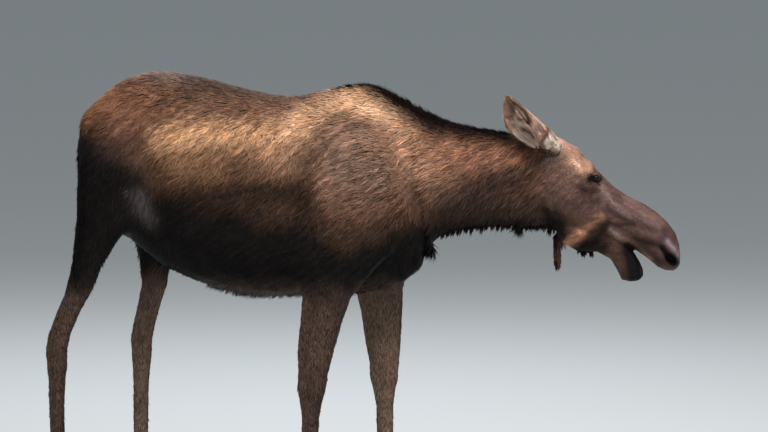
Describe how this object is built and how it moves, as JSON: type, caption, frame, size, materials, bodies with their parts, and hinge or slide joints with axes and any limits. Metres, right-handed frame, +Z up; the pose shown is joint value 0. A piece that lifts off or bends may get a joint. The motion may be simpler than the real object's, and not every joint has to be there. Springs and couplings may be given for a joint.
{
  "type": "moose",
  "caption": "Life-size still model of a cow moose standing on four legs with the neck stretched forward, the head held low and the mouth open.",
  "frame": {"origin": "the middle of the object's box, on the ground under the hooves", "axes": "+X towards the nose, +Y towards the animal's left side, +Z up"},
  "size_m": [2.537, 0.61, 1.786],
  "materials": {
    "body_coat": "dense brown winter hair, matte",
    "leg_coat": "short grey-brown hair, matte",
    "face_coat": "short velvety hair, matte",
    "dark_coat": "wet near-black hair",
    "ear_coat": "tan hair outside, pale grey inside",
    "horn": "dark hoof horn, satin",
    "eye": "wet dark eye"
  },
  "bodies": {
    "root": {"trunk": "body_coat", "neck": "body_coat", "head": "face_coat", "lower_jaw": "dark_coat", "dewlap": "dark_coat", "eye_right": "eye", "ear_right": "ear_coat", "eye_left": "eye", "ear_left": "ear_coat", "foreleg_right_upper": "leg_coat", "foreleg_right_lower": "leg_coat", "foreleg_right_hoof_right": "horn", "foreleg_right_hoof_left": "horn", "foreleg_right_dewclaw_right": "horn", "foreleg_right_dewclaw_left": "horn", "foreleg_left_upper": "leg_coat", "foreleg_left_lower": "leg_coat", "foreleg_left_hoof_right": "horn", "foreleg_left_hoof_left": "horn", "foreleg_left_dewclaw_right": "horn", "foreleg_left_dewclaw_left": "horn", "hindleg_right_upper": "leg_coat", "hindleg_right_lower": "leg_coat", "hindleg_right_hoof_right": "horn", "hindleg_right_hoof_left": "horn", "hindleg_right_dewclaw_right": "horn", "hindleg_right_dewclaw_left": "horn", "hindleg_left_upper": "leg_coat", "hindleg_left_lower": "leg_coat", "hindleg_left_hoof_right": "horn", "hindleg_left_hoof_left": "horn", "hindleg_left_dewclaw_right": "horn", "hindleg_left_dewclaw_left": "horn", "tail": "body_coat"}
  },
  "joints": []
}
